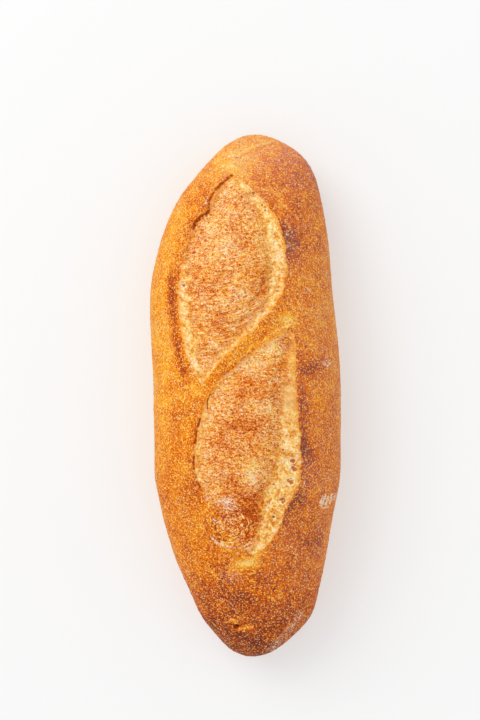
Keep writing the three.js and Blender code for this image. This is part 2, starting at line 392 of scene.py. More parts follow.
# The torn rims: of each mesh edge that crosses one, the nearer end moves onto it
for left, right in SLASHES:
    gap_left, _, at_left = nearest_on(lines[left], points[top, :2])
    gap_right, _, at_right = nearest_on(lines[right], points[top, :2])
    target = np.zeros((len(points), 2))
    target[top] = np.where((gap_left < gap_right)[:, None], at_left, at_right)
    inside = is_between(lines[left], lines[right], points[top, :2])
    offset = np.full(len(points), -np.inf)
    offset[top] = np.minimum(gap_left, gap_right) * np.where(inside, 1, -1)
    crossing = edges[(offset[edges[:, 0]] > 0) != (offset[edges[:, 1]] > 0)]
    moved = set()
    for a, b in crossing[np.abs(offset[crossing]).min(1).argsort()]:
        if a in moved or b in moved:
            continue
        i = a if abs(offset[a]) < abs(offset[b]) else b
        shift = target[i] - points[i, :2]
        points[i] += (*shift, -(normals[i, :2] @ shift) / normals[i, 2])
        moved.add(i)

# The points that face up, seen from above: how far each is from each rim, and how far along it
plan = points[top, :2]
gap, along = {}, {}
for rim, line in lines.items():
    gap[rim], along[rim], _ = nearest_on(line, plan)


def at_share(rim, name):
    """A rim's size at the part of the rim that is nearest to each point."""
    return np.interp(along[rim], *np.transpose(RIMS[rim][name]))


def gap_to(line):
    return nearest_on(np.array(line, float), plan)[0]


# The lifted lips, the torn walls, the troughs and the swollen middles
opened = np.zeros(len(plan))
pale = np.full(len(plan), -np.inf)
from_rim = np.minimum.reduce([gap[rim] for rim in RIMS])
height = np.max([at_share(rim, "lip") * np.exp(-gap[rim] / LIP_REACH) for rim in RIMS], axis=0)
for pair in SLASHES:
    on_rim = np.minimum(gap[pair[0]], gap[pair[1]]) < ON_RIM
    inside = is_between(lines[pair[0]], lines[pair[1]], plan) & ~on_rim
    swell = np.full(len(plan), float(BLOOM_HEIGHT))
    clear = np.ones(len(plan))
    for rim in pair:
        swell *= np.sin(math.pi * along[rim]) ** TIP_FADE * (1 - bump(gap[rim] / BLOOM_REACH))
    for rim in pair:
        past_wall = np.maximum(0, gap[rim] - at_share(rim, "wall"))
        swell -= at_share(rim, "trough") * bump(past_wall / TROUGH_REACH)
    for rim in pair:
        rise = ease(gap[rim] / at_share(rim, "wall"))
        swell = at_share(rim, "lip") * (1 - rise) + swell * rise
        clear *= ease(gap[rim] / np.maximum(at_share(rim, "soft"), SHARPEST_EDGE))
    height = np.where(inside, swell, height)
    opened = np.where(inside, clear, opened)
    for rim in pair:
        pale = np.where(inside, np.maximum(pale, at_share(rim, "pale") - gap[rim]), pale)

# Cracks along the left rims and in the crumb: a line, its width, and how dark it is. Their dark colour
# is partly burnt brown and partly painted shade in the cracks
CRACK_DEPTH = 0.45
CRACKS = [
    ([(-9, 124.6), (-10.9, 123.1), (-15.6, 118.8), (-19.3, 114), (-21.6, 109.7), (-22, 106)], 0.9, 0.8),
    ([(-21.6, 104.5), (-23.9, 102), (-26.7, 100.9), (-29.5, 97.9), (-30.9, 94.1)], 0.7, 0.8),
    ([(-31.5, 91), (-33, 86.5), (-35, 80)], 0.4, 0.4),
    ([(-20.7, 1.7), (-22.5, -2), (-22.5, -6.5)], 0.45, 0.6),
    ([(-26.4, -12), (-27.8, -16.8)], 0.5, 0.9),
    ([(-28.3, -19), (-29.3, -26)], 0.55, 0.8),
    ([(-29.9, -33), (-30, -40)], 0.5, 1),
    ([(-29.3, -42.5), (-26.5, -50.5)], 0.45, 0.5),
    ([(11.3, 62.4), (15.9, 61.3)], 0.4, 0.4),
    ([(15.4, 59.7), (17.9, 58)], 0.4, 0.4),
    ([(16.7, -15.2), (21.4, -13.9), (26, -12.1)], 0.4, 0.35),
    ([(24.3, 38.5), (24.8, 35)], 0.4, 0.5),
    # painted shade in the groove below the strip between the slashes
    ([(15, 32.9), (4, 25.6), (-7, 16.1), (-16.8, 7.3)], 0.8, 0.2),
    # painted shade in the hole in the near end
    ([(-7, -131.2), (-5.8, -131)], 0.9, 1),
]
crack_and_shade = np.zeros(len(plan))
for line, width, dark in CRACKS:
    crack_and_shade = np.maximum(crack_and_shade, dark * bump(gap_to(line) / width))
height -= CRACK_DEPTH * crack_and_shade

# The larger pores of the torn crumb, and the hole in the near end: x, y, how wide and how deep
PORE_EDGE = 1.3
PORES = [
    (3.1, 114.6, 1.1, 1.1), (8.2, 107.4, 0.9, 1), (10, 104.6, 0.9, 1), (6.7, 93.2, 0.7, 0.6),
    (24.6, -35.1, 1.7, 1.2), (25.1, -39.8, 1.8, 1.3), (21.4, -35.5, 0.8, 0.7), (19.5, -29.1, 1, 0.7),
    (20.5, -25.4, 0.8, 0.7), (14.5, -48.4, 0.9, 0.8), (23.3, -46.7, 2.4, 0.9), (19.1, -57.3, 1.9, 1.4),
    (14.5, -66.6, 1.2, 1.4), (12.2, -59.1, 0.8, 0.8), (7.6, -69.8, 0.8, 0.7), (-36.3, 62.2, 0.8, 0.8),
    (-6.4, -131, 1.5, 2.6),
]
large_pore = np.zeros(len(plan))
for x, y, reach, depth in PORES:
    hollow = ease(PORE_EDGE - np.hypot(plan[:, 0] - x, plan[:, 1] - y) / reach)
    height -= depth * hollow
    large_pore = np.maximum(large_pore, hollow * min(depth, 1))

# Folds where the dough was tucked in at its two ends, and a furrow beside the torn crumb of the far slash:
# a line, how wide and how deep
FOLDS = [
    ([(-13.8, 136.3), (-5.3, 137.3), (2.3, 141.9), (13.8, 146.1)], 1.8, 0.8),
    ([(-11.7, -129.6), (-6.4, -131.2), (4, -129)], 1.3, 1.2),
    ([(14, 73), (12.5, 67), (9.4, 61.9), (6.7, 57.3), (2.1, 50.8)], 1.8, 0.9),
]
for line, reach, depth in FOLDS:
    height -= depth * bump(gap_to(line) / reach)

# Wrinkles of the opened dough: brown furrows that hang across the slashes in arcs
WRINKLE_WIDTH = 0.7
WRINKLE_DEPTH = 0.35
WRINKLE_BAKE = 0.1
WRINKLES = [
    [(-26, 33), (-21, 27), (-15, 25), (-8, 28)],
    [(-30, 42), (-24, 35), (-16, 32), (-6, 34), (0, 39)],
    [(-22, 43), (-14, 40), (-5, 42), (4, 48)],
    [(-29, 52), (-22, 47), (-12, 46), (-3, 49)],
    [(0, 51), (6, 57), (10, 65)],
    [(-26, 62), (-18, 58), (-9, 60)],
    [(-7, 12), (-1, 8), (6, 9), (10, 13)],
    [(-14, -4), (-6, -9), (2, -8), (8, -4)],
    [(-12, -14), (-4, -19), (4, -17)],
    [(-18, -34), (-10, -39), (-4, -38)],
    [(-14, -52), (-6, -57), (2, -56), (7, -51)],
]
wrinkled = np.zeros(len(plan))
for line in WRINKLES:
    wrinkled = np.maximum(wrinkled, bump(gap_to(line) / WRINKLE_WIDTH))
height -= WRINKLE_DEPTH * wrinkled
points[top] += normals[top] * height[:, None]

# The bake
# The crust is browner over the right flank, towards the near end and along the lips of the slashes, and
# paler round the tips of the slashes and low on the flanks towards the foot.
CRUST_BAKE = 0.37
FOOT_PALER = 0.16
FOOT_TOP = 6
FOOT_FADE = 22
BASE_BAKE = 0.62
BASE_TOP = 0.5

# Each mark is x, y, its reach both ways, and how much browner it makes what lies there, or paler. Each
# line is its points, its width, and the same
CRUST_MARKS = [
    (2, -140, 60, 28, 0.38), (-14, -105, 24, 16, 0.18), (-45, -45, 18, 40, 0.06), (30, -95, 20, 22, 0.14),
    (40, -30, 16, 60, 0.09), (37, 17, 7, 6, 0.27), (27, -60, 7, 6, 0.15), (36, -80, 8, 7, 0.18),
    (26, 122, 18, 24, 0.16), (35, 85, 14, 24, 0.09), (24, 88, 5, 9, 0.26), (-6, 131, 12, 8, -0.34),
    (0, -93.5, 6.5, 3.5, -0.34), (22, 42, 6, 4, -0.3), (-4, 26, 16, 12, -0.1), (-28, 4, 6, 5, -0.2),
    (-52, 20, 12, 70, -0.13), (-38, 101, 8, 14, -0.08), (0, 145, 30, 8, -0.12), (-40, -9, 7, 3, 0.12),
    (18.5, 107, 2.4, 2, -0.35), (33, -25, 5, 6, 0.12), (37, -34, 6, 5, 0.1), (33, -42, 4, 12, 0.04),
    (31, -58, 6, 6, 0.14), (-18, -74, 7, 11, 0.14), (32, 0, 5, 40, 0.06),
]
CRUST_LINES = [
    ([(-42.5, 66), (-42.5, 53), (-41.8, 43.8), (-40, 32.6), (-38.2, 23.3), (-36, 13)], 2.3, 0.3),
    ([(-11, 137.4), (-5.3, 137.9), (2.3, 142.5), (13.8, 146.7)], 0.9, -0.25),
    ([(-7, 135.6), (3, 139.6), (13.8, 144.4)], 1.3, 0.16),
    ([(9.4, 31.7), (16.8, 37.1), (22.3, 39.4)], 1, -0.3),
    ([(0.2, 27), (9.4, 31.7)], 0.9, -0.15),
    ([(-20, 9), (-8, 21), (4, 32), (14, 42)], 3, 0.06),
    # painted shade in the groove below the strip between the slashes
    ([(15, 33.6), (4, 26.4), (-7, 17), (-17, 8.2)], 1, 0.2),
    ([(6, -88), (0, -92.5), (-9, -96)], 2.2, -0.22),
    ([(-11.7, -128.1), (-8.6, -126.4), (-6, -129.6)], 1, -0.45),
    ([(-5, -132.7), (-1.4, -131.7), (3, -130.7)], 1, -0.4),
    ([(-23.9, -95.1), (-17.4, -100.6)], 0.7, -0.25),
    ([(-20.2, -98.8), (-16.5, -102.7)], 0.7, -0.25),
    ([(-5.3, -97.3), (-1.6, -100.4)], 0.7, -0.2),
    ([(-13.2, -104.3), (-8.1, -110.1)], 0.8, -0.2),
]
DOUGH_BAKE = 0.44
DOUGH_MARKS = [
    (0, -30, 40, 50, 0.14), (14, -62, 8, 14, 0.22), (24, 22, 5, 20, 0.22), (-33, 50, 7, 40, 0.14),
    (-27, 96, 6, 14, 0.1), (11, 27, 8, 5, -0.2), (-2, 17, 8, 5, -0.2), (-13, 6, 6, 5, -0.12),
    (-12, 68, 9, 7, 0.18), (-24, 64, 6, 8, 0.16), (5, 70, 8, 7, 0.16), (-1, 87, 9, 9, 0.14),
    (-20, 38, 9, 8, 0.1), (-12, 43, 9, 6, 0.1), (-7, 108, 12, 12, 0.09), (0, 7, 8, 7, 0.2),
    (-2, -14, 8, 5, 0.22), (-15, -26, 5, 5, 0.16), (-4, 0, 6, 4, 0.12), (7, -7, 8, 4, -0.14),
    (-15, -7, 6, 4, -0.12), (2, -64, 7, 7, 0.4), (1, -77, 5, 4.5, 0.3), (2, -41, 5.5, 7, -0.32),
    (-10, -68, 13, 12, 0.28), (-8, -48, 7, 6, 0.15), (9, 60, 3, 8, 0.2), (12, 2, 5, 6, 0.1),
]
BURN_REACH = 2.4
CUT_EDGE = 0.7

# Where the crust is greyed, partly as duller crust and partly as a painted sheen (the whitish reflection of
# the white room on the right side), where a thin skin dried on the torn crumb, and where flour lies, in
# strokes from the proofing cloth and as dust
DULL_AND_SHEEN_MARKS = [(48, 40, 28, 110, 0.8), (20, 140, 42, 24, 1.6), (30, -70, 22, 50, 0.5), (22.5, 87, 5, 9, 1)]
SKIN_MARKS = [(22, -2, 7, 10, 0.8), (25, 22, 4, 14, 0.4)]
FLOUR_STROKES = [
    ([(41.8, -56.4), (40.6, -61)], 0.8, 1), ([(43.6, -55.8), (42.6, -58.6), (41.4, -62)], 0.7, 1),
    ([(45.4, -56.8), (44.2, -60.8)], 0.8, 1), ([(47.6, -55.6), (46.6, -60.2)], 0.8, 1),
    ([(49.6, -56), (49, -58.4)], 0.8, 1), ([(41.5, -62.7), (45, -62.6)], 0.8, 0.6),
    ([(-20.1, -78.1), (-17.8, -81.3), (-14.5, -82.4), (-11.8, -83.1)], 0.8, 0.75),
    ([(-19.2, -67.6), (-15.9, -70.5), (-13.4, -73.6)], 0.7, 0.6),
    ([(-11.8, -83.1), (-4.3, -84), (3.2, -80.3)], 0.6, 0.4),
    ([(31.4, -20), (31.6, -34.8), (31.2, -46), (30, -51.5)], 0.5, 0.5),
    ([(13.8, -146), (19.4, -138.1), (24.1, -133), (29.7, -124.1)], 3, 0.4),
]
FLOUR_DUST = [
    (-12, -58, 5, 3.5, 0.6), (-9, -66, 11, 11, 0.2), (44, 19, 3, 2.5, 0.6), (34, 59.6, 2.2, 1.4, 0.5),
    (-8.5, 59.6, 3, 2.5, 0.5), (22.5, 84, 1.2, 1.4, 0.8), (21.8, 90.6, 1.2, 2, 0.6),
    (-23, 109, 1.5, 2, 0.5), (10.5, 109.4, 1, 1, 0.5), (-10, -100, 12, 7, 0.25), (-22, -57, 2, 3, 0.4),
]


def marked(places, marks):
    """What the marks add up to at each place."""
    x, y = places.T
    total = np.zeros(len(places))
    for at_x, at_y, wide, long, by in marks:
        total += by * bump(np.hypot((x - at_x) / wide, (y - at_y) / long))
    return total


low_on_flank = 1 - ease((points[:, 2] - FOOT_TOP) / FOOT_FADE)
bake = CRUST_BAKE + marked(points[:, :2], CRUST_MARKS) - FOOT_PALER * low_on_flank
bake = np.where(points[:, 2] < BASE_TOP, BASE_BAKE, bake)
# browner lips along the rims; along the two left rims partly painted shade beside the lips
burn_and_shade = np.zeros(len(plan))
for rim in RIMS:
    strip = np.exp(-gap[rim] / BURN_REACH) * (1 - np.exp(-gap[rim] / CUT_EDGE))
    burn_and_shade = np.maximum(burn_and_shade, at_share(rim, "burn_and_shade") * strip)
for line, width, by in CRUST_LINES:
    burn_and_shade += by * bump(gap_to(line) / width)
bake[top] += burn_and_shade * (1 - opened)
toast = DOUGH_BAKE + marked(plan, DOUGH_MARKS) + WRINKLE_BAKE * wrinkled
dull_and_sheen = marked(points[:, :2], DULL_AND_SHEEN_MARKS)
skin = marked(plan, SKIN_MARKS)
flour = marked(plan, FLOUR_DUST)
for line, width, amount in FLOUR_STROKES:
    flour = np.maximum(flour, amount * bump(gap_to(line) / width))

# The strands of the dough hang across the slashes, in arcs that follow the strip of crust between them
STRAND_ARC = 0.0135
ARC_START = -22
COMBED_END = 45
COMBED_FADE = 40
STRAND_STRETCH = 0.45
COMBED_STRETCH = 0.22
in_far = is_between(lines[FAR_LEFT], lines[FAR_RIGHT], plan)
combed = np.where(in_far, 1 - ease((plan[:, 1] - COMBED_END) / COMBED_FADE), 0)
strand = np.zeros((len(points), 3))
strand[top, 0] = plan[:, 0] * (STRAND_STRETCH + (COMBED_STRETCH - STRAND_STRETCH) * combed)
strand[top, 1] = plan[:, 1] - STRAND_ARC * combed * np.maximum(0, plan[:, 0] - ARC_START) ** 2

# Where the near slash ends they are tangled, in rings round the bulge there
TANGLE_MIDDLE = (-9.5, -71)
TANGLE_REACH = (14, 15)
TANGLE_STRETCH = 2.7
from_middle = plan - TANGLE_MIDDLE
tangle = bump(np.linalg.norm(from_middle / TANGLE_REACH, axis=1) ** 2)
swirl = np.zeros((len(points), 3))
swirl[top, 0] = TANGLE_STRETCH * np.arctan2(from_middle[:, 1], from_middle[:, 0])
swirl[top, 1] = np.linalg.norm(from_middle, axis=1)

# The loaf goes to the place of its solid, and keeps what is known of each point
NO_CRUMB = -20
FAR_FROM_RIM = 20
RELIEF_RISE = 6
solid_low, solid_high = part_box("loaf")
solid_middle = (solid_low + solid_high) / 2
solid_foot = np.array([*solid_middle[:2], solid_low[2]]) / MM
middle = (points.max(0) + points.min(0)) / 2
to_frame = solid_foot - (*middle[:2], points[:, 2].min())
for vert, point in zip(dough.verts, points + to_frame):
    vert.co = Vector(point) * MM
loaf_mesh = bpy.data.meshes.new("raw_loaf")
dough.to_mesh(loaf_mesh)
dough.free()
loaf_mesh.shade_smooth()


def keep(name, values, elsewhere=0):
    """Stores a number for each point of the loaf. Values for the top alone are made up with elsewhere."""
    if len(values) < len(points):
        filled = np.full(len(points), elsewhere, float)
        filled[top] = values
        values = filled
    loaf_mesh.attributes.new(name, "FLOAT", "POINT").data.foreach_set("value", values.astype(np.float32))


keep("opened", opened)
keep("pale", np.maximum(pale, NO_CRUMB), NO_CRUMB)
keep("bake", bake)
keep("toast", toast)
keep("flour", flour)
keep("crack_and_shade", crack_and_shade)
keep("dull_and_sheen", dull_and_sheen)
keep("large_pore", large_pore)
keep("tangle", tangle)
keep("skin", skin)
keep("from_rim", from_rim, FAR_FROM_RIM)
keep("off_ground", ease((points[:, 2] - BASE_TOP) / RELIEF_RISE))
for name, directions in (("strand", strand), ("swirl", swirl)):
    store = loaf_mesh.attributes.new(name, "FLOAT_VECTOR", "POINT")
    store.data.foreach_set("vector", (directions * MM).astype(np.float32).ravel())
raw_loaf = bpy.data.objects.new("raw_loaf", loaf_mesh)
bpy.context.scene.collection.objects.link(raw_loaf)

# The crust and the crumb
# Crisp crust, golden to dark brown, strewn with tiny golden blisters; in the slashes rough browned dough
# with pale torn crumb beside the rims; and flour from the proofing cloth left in a few places.


def shade(red, green, blue):
    """A colour as a screen shows it, 0 to 255, as the linear values that a material takes."""
    parts = [part / 255 for part in (red, green, blue)]
    return (*(part / 12.92 if part < 0.04045 else ((part + 0.055) / 1.055) ** 2.4 for part in parts), 1)


def feed(tree, socket, value):
    """Links an output to the socket, or sets a plain value on it."""
    if isinstance(value, bpy.types.NodeSocket):
        tree.links.new(value, socket)
    else:
        socket.default_value = value


def add(tree, kind, inputs=(), **settings):
    """Adds a node with its settings, and feeds its inputs, named or numbered."""
    made = tree.nodes.new(kind)
    for name, value in settings.items():
        setattr(made, name, value)
    for name, value in dict(inputs).items():
        feed(tree, made.inputs[name], value)
    return made


def work(tree, operation, *values):
    """One step of arithmetic on numbers or outputs."""
    return add(tree, "ShaderNodeMath", dict(enumerate(values)), operation=operation).outputs[0]


def step(tree, value, low, high):
    """A soft step from 0 at low to 1 at high."""
    inputs = {"Value": value, "From Min": low, "From Max": high}
    return add(tree, "ShaderNodeMapRange", inputs, interpolation_type="SMOOTHSTEP").outputs["Result"]


def mottle(tree, where, size, detail=2, rough=0.5, curl=0):
    """Cloudy noise between about -1 and 1, with patches of the given size in millimetres."""
    noise = add(tree, "ShaderNodeTexNoise", {
        "Vector": where, "Scale": 1 / (size * MM), "Detail": detail, "Roughness": rough, "Distortion": curl,
    })
    return work(tree, "MULTIPLY_ADD", noise.outputs[0], 2, -1)


def ramp(tree, value, stops):
    """The colour for a value, out of a row of them. New stops start halfway and then get their places."""
    made = add(tree, "ShaderNodeValToRGB", {"Fac": value})
    elements = made.color_ramp.elements
    while len(elements) < len(stops):
        elements.new(0.5)
    for element, (place, colour) in zip(elements, stops):
        element.position = place
        element.color = shade(*colour)
    return made.outputs["Color"]


def blend(tree, share, first, second, how="MIX"):
    made = add(tree, "ShaderNodeMix", {0: share, 6: first, 7: second}, data_type="RGBA", blend_type=how)
    return made.outputs[2]


CRUST_COLOURS = [
    (0, (243, 226, 176)), (0.2, (240, 203, 120)), (0.36, (237, 172, 60)), (0.52, (232, 140, 21)),
    (0.65, (216, 106, 14)), (0.77, (178, 75, 16)), (0.89, (130, 53, 20)), (1, (92, 42, 22)),
]
FLECK_COLOUR = (248, 212, 130)
DULL_AND_SHEEN_COLOUR = (214, 152, 138)
DOUGH_COLOURS = [
    (0, (244, 223, 186)), (0.15, (241, 206, 150)), (0.3, (237, 183, 109)), (0.45, (233, 157, 70)),
    (0.6, (225, 129, 41)), (0.75, (211, 102, 20)), (0.9, (188, 76, 10)), (1, (160, 56, 6)),
]
RIM_GOLD_AND_BOUNCE_COLOUR = (240, 156, 44)
GOLDEN_TINT = (1.08, 1.02, 0.35, 1)
ROSY_TINT = (0.91, 0.95, 1.9, 1)
CRUMB_COLOURS = [
    (0, (252, 230, 192)), (0.2, (248, 213, 152)), (0.4, (241, 190, 106)), (0.6, (231, 161, 62)),
    (0.8, (210, 120, 30)), (1, (178, 78, 14)),
]
SKIN_COLOUR = (226, 184, 130)
FLOUR_COLOUR = (252, 238, 212)
TANGLE_COLOUR = (252, 218, 160)
PORE_SHADE_COLOUR = (180, 76, 8)
CRACK_BURN_AND_SHADE_COLOUR = (150, 46, 0)

baked = bpy.data.materials.new("baked_crust_and_crumb")
baked.use_nodes = True
tree = baked.node_tree
shader = tree.nodes["Principled BSDF"]
shader.inputs["Specular IOR Level"].default_value = 0.1
shader.inputs["Subsurface Radius"].default_value = (1, 0.45, 0.2)
shader.inputs["Subsurface Scale"].default_value = 0.6 * MM
where = add(tree, "ShaderNodeTexCoord").outputs["Object"]


def stored(name, output="Fac"):
    """What is known of each point of the loaf under that name."""
    return add(tree, "ShaderNodeAttribute", attribute_name=name).outputs[output]


def times(first, second):
    return work(tree, "MULTIPLY", first, second)


def plus(value, *layers):
    """The value, plus each layer times its amount."""
    for layer, amount in layers:
        value = work(tree, "MULTIPLY_ADD", layer, amount, value)
    return value


def patchy(value, patches):
    """The value, plus noise in patches, each given as its size, its detail and its amount."""
    return plus(value, *((mottle(tree, where, size, detail), amount) for size, detail, amount in patches))


def over(share, amount, first, second):
    """The second colour over the first, in the given share times an amount."""
    return blend(tree, times(share, amount), first, shade(*second))


def bent(size, by):
    """The place on the loaf, pushed about by a noise of the given size, up to the given distance."""
    push = add(tree, "ShaderNodeTexNoise", {"Vector": where, "Scale": 1 / (size * MM)}).outputs["Color"]
    push = add(tree, "ShaderNodeVectorMath", {0: push, "Scale": by * MM}, operation="SCALE").outputs[0]
    return add(tree, "ShaderNodeVectorMath", {0: where, 1: push}, operation="ADD").outputs[0]


# The crust: browned in patches, and strewn with golden flecks where tiny blisters stand. A noise is its
# size, detail, roughness and curl, and an edge is where a soft step starts and where it ends
CRUST_PATCHES = [(30, 2, 0.14), (9, 2, 0.22), (2.6, 2, 0.14), (0.8, 2, 0.6)]
CRUST_LIGHTEST = 0.3
CRUST_CONTRAST = 0.8
BLISTER_CELL = 0.95
BLISTER_BEND = (1, 1)
BLISTER_EDGE = (0.75, 0.3)
BLISTER_COVER = 0.46
SPECK_EDGE = (1, 0.3)
SCRAP_NOISE = (1.7, 2, 0.7, 1.5)
SCRAP_EDGE = (0.1, 0.4)
SCRAP_COVER = 0.7
FLECKS_ON_CRUST = -0.27
TANGLE_NOISE = (1.1, 1, 0.5, 1.2)
TANGLE_ON_CRUST = 0.7
DULL_AND_SHEEN_COVER = 0.14
cells = add(tree, "ShaderNodeTexVoronoi", {"Vector": bent(*BLISTER_BEND), "Scale": 1 / (BLISTER_CELL * MM)})
uneven = add(tree, "ShaderNodeSeparateColor", {"Color": cells.outputs["Color"]}).outputs
blisters = step(tree, work(tree, "DIVIDE", cells.outputs["Distance"], uneven["Red"]), *BLISTER_EDGE)
specks = step(tree, work(tree, "DIVIDE", cells.outputs["Distance"], uneven["Green"]), *SPECK_EDGE)
scraps = step(tree, mottle(tree, where, *SCRAP_NOISE), *SCRAP_EDGE)
flecks = work(tree, "MAXIMUM", times(scraps, SCRAP_COVER), blisters)
tangled = times(mottle(tree, stored("swirl", "Vector"), *TANGLE_NOISE), stored("tangle"))
browned = patchy(stored("bake"), CRUST_PATCHES)
browned = plus(
    CRUST_LIGHTEST, (browned, CRUST_CONTRAST), (flecks, FLECKS_ON_CRUST), (tangled, TANGLE_ON_CRUST)
)
# a greyish overlay: partly duller crust, partly a painted sheen reflecting the white room on the right side
crust_colour = over(stored("dull_and_sheen"), DULL_AND_SHEEN_COVER, ramp(tree, browned, CRUST_COLOURS), DULL_AND_SHEEN_COLOUR)
crust_colour = over(blisters, BLISTER_COVER, crust_colour, FLECK_COLOUR)

# The opened dough: browned in patches and streaks, with pale curly strands and dark specks
DOUGH_PATCHES = [(10, 3, 0.27), (0.7, 2, 0.65)]
STREAK_NOISE = (1.2, 2)
STREAKS_ON_DOUGH = 0.5
THREAD_NOISE = (1.1, 1, 0.5, 0.8)
THREAD_EDGE = (0.12, 0.02)
STRAND_COVER = 0.8
STRANDS_ON_DOUGH = -0.55
SPECKS_ON_DOUGH = 0.35
TANGLE_ON_DOUGH = 1.05
strand_place = stored("strand", "Vector")
threads = step(tree, work(tree, "ABSOLUTE", mottle(tree, strand_place, *THREAD_NOISE)), *THREAD_EDGE)
strands = times(work(tree, "MAXIMUM", threads, flecks), STRAND_COVER)
streaks = mottle(tree, strand_place, *STREAK_NOISE)
toasted = plus(
    patchy(stored("toast"), DOUGH_PATCHES), (streaks, STREAKS_ON_DOUGH), (specks, SPECKS_ON_DOUGH),
    (strands, STRANDS_ON_DOUGH), (tangled, TANGLE_ON_DOUGH),
)
dough_colour = ramp(tree, toasted, DOUGH_COLOURS)

# The torn crumb: foamy cream, golden towards its two edges, with pits, and here and there a dried skin
CRUMB_PATCHES = [(6, 3, 3.5), (1.5, 2, 1.5)]
CRUMB_EDGE = (-2.5, 2.5)
GOLDEN_EDGE = (3.5, 0)
FOAMS = [(2.4, 0.3), (5, 0.16)]
FOAM_BEND = 1.6
FOAM_CORE = 0.02
FOAM_GAPS = 1.3
FOAM_GAP_EDGE = (-0.3, 0.3)
PIT_PATCHES = [(1.8, 2, 1.8)]
PIT_EDGE = (0.35, 0.6)
PIT_RIM_EDGE = (0.02, 0.2)
CRUMB_LIGHTEST = 0.28
GOLDEN_PATCHES = [(4, 3, 0.7), (0.8, 2, 0.4)]
TOAST_ON_CRUMB = 0.42
DULL_AND_SHEEN_ON_CRUMB = 0.1
EDGE_ON_CRUMB = 0.25
FOAM_ON_CRUMB = -0.45
PIT_RIMS_ON_CRUMB = -0.3
SKIN_ON_FOAM = -0.7
SKIN_COVER = 0.5


def foam(size, wall):
    """Pale walls of foamy crumb, 0 to 1, between uneven cells of the given size."""
    inputs = {"Vector": bent(FOAM_BEND * size, size), "Scale": 1 / (size * MM)}
    bubbles = add(tree, "ShaderNodeTexVoronoi", inputs, feature="DISTANCE_TO_EDGE")
    return step(tree, bubbles.outputs["Distance"], wall, FOAM_CORE)


ragged = patchy(stored("pale"), CRUMB_PATCHES)
crumb = step(tree, ragged, *CRUMB_EDGE)
crumb_edge = step(tree, ragged, *GOLDEN_EDGE)
walls = work(tree, "MAXIMUM", *(foam(size, wall) for size, wall in FOAMS))
walls = times(walls, step(tree, mottle(tree, where, FOAM_GAPS), *FOAM_GAP_EDGE))
walls = times(walls, plus(1, (stored("skin"), SKIN_ON_FOAM)))
pits = step(tree, times(stored("large_pore"), patchy(1, PIT_PATCHES)), *PIT_EDGE)
pit_rims = work(tree, "SUBTRACT", step(tree, stored("large_pore"), *PIT_RIM_EDGE), pits)
golden = plus(
    patchy(CRUMB_LIGHTEST, GOLDEN_PATCHES),
    (stored("toast"), TOAST_ON_CRUMB), (stored("dull_and_sheen"), DULL_AND_SHEEN_ON_CRUMB), (crumb_edge, EDGE_ON_CRUMB),
    (walls, FOAM_ON_CRUMB), (pit_rims, PIT_RIMS_ON_CRUMB),
)
crumb_colour = over(stored("skin"), SKIN_COVER, ramp(tree, golden, CRUMB_COLOURS), SKIN_COLOUR)

# In the slashes the crumb shows through the dough, and both are golden at the rims, partly as their own
# colour and partly as painted warm bounce light on the shaded walls below the rims
SLASH_PATCHES = [(2, 2, 0.25)]
SLASH_EDGE = (0.3, 0.7)
RIM_PATCHES = [(2.5, 2, 2)]
RIM_EDGE = (2, 0)
RIM_GOLD_AND_BOUNCE_COVER = 0.75
in_slash = step(tree, patchy(stored("opened"), SLASH_PATCHES), *SLASH_EDGE)
gold_and_bounce_at_rim = step(tree, patchy(stored("from_rim"), RIM_PATCHES), *RIM_EDGE)
opened_colour = blend(tree, crumb, dough_colour, crumb_colour)
# golden rims, partly own colour, partly painted warm bounce light on the shaded walls
opened_colour = over(gold_and_bounce_at_rim, RIM_GOLD_AND_BOUNCE_COVER, opened_colour, RIM_GOLD_AND_BOUNCE_COLOUR)
colour = blend(tree, in_slash, crust_colour, opened_colour)

# Golden and rosy tints in patches over all of it, weaker where it is light
TINT_PATCHES = [(0.8, 2, 1), (4, 2, 0.25), (13, 2, 0.25)]
TINT_EDGE = (-0.22, 0.22)
LIGHT_DOUGH_EDGE = (0.55, 0.15)
LIGHT_CRUST_EDGE = (0.55, 0.2)
ROSY_ON_LIGHT_DOUGH = -0.45
TINT_ON_LIGHT_DOUGH = -0.12
TINT_ON_LIGHT_CRUST = -0.15
TINT_ON_CRUMB = -0.5
TINT_ON_BLISTERS = -0.25
light_dough = times(in_slash, step(tree, toasted, *LIGHT_DOUGH_EDGE))
light_crust = times(work(tree, "SUBTRACT", 1, in_slash), step(tree, browned, *LIGHT_CRUST_EDGE))
rosy = step(tree, patchy(0, TINT_PATCHES), *TINT_EDGE)
rosy = times(rosy, plus(1, (light_dough, ROSY_ON_LIGHT_DOUGH)))
tints = blend(tree, rosy, GOLDEN_TINT, ROSY_TINT)
tinting = plus(
    1, (light_dough, TINT_ON_LIGHT_DOUGH), (light_crust, TINT_ON_LIGHT_CRUST),
    (times(in_slash, crumb), TINT_ON_CRUMB), (blisters, TINT_ON_BLISTERS),
)
colour = blend(tree, tinting, colour, tints, "MULTIPLY")

# What lies on top of that: painted shade in the pores and pits, dark cracks that are partly burnt brown and
# partly painted shade, pale strands in the tangle, and flour in curls and drifts
SMALL_PORE_SHADE_COVER = 0.6
PORE_SHADE_COVER = 0.8
CRACK_PATCHES = [(1.8, 2, 1.5)]
CRACK_EDGE = (0.1, 0.7)
CRACK_SHADE_COVER = 0.95
TANGLE_EDGE = (-0.2, -0.38)
TANGLE_COVER = 0.8
CURL_NOISE = (3.2, 1, 0.5, 1.5)
CURL_EDGE = (0.07, 0.01)
CURL_STRENGTH = 2
DRIFT_NOISE = (0.9, 2, 0.6, 1)
DRIFT_STRENGTH = 2
DRIFT_SHARE = 0.55
FLOUR_EDGE = (0.2, 0.75)
FLOUR_COVER = 0.85
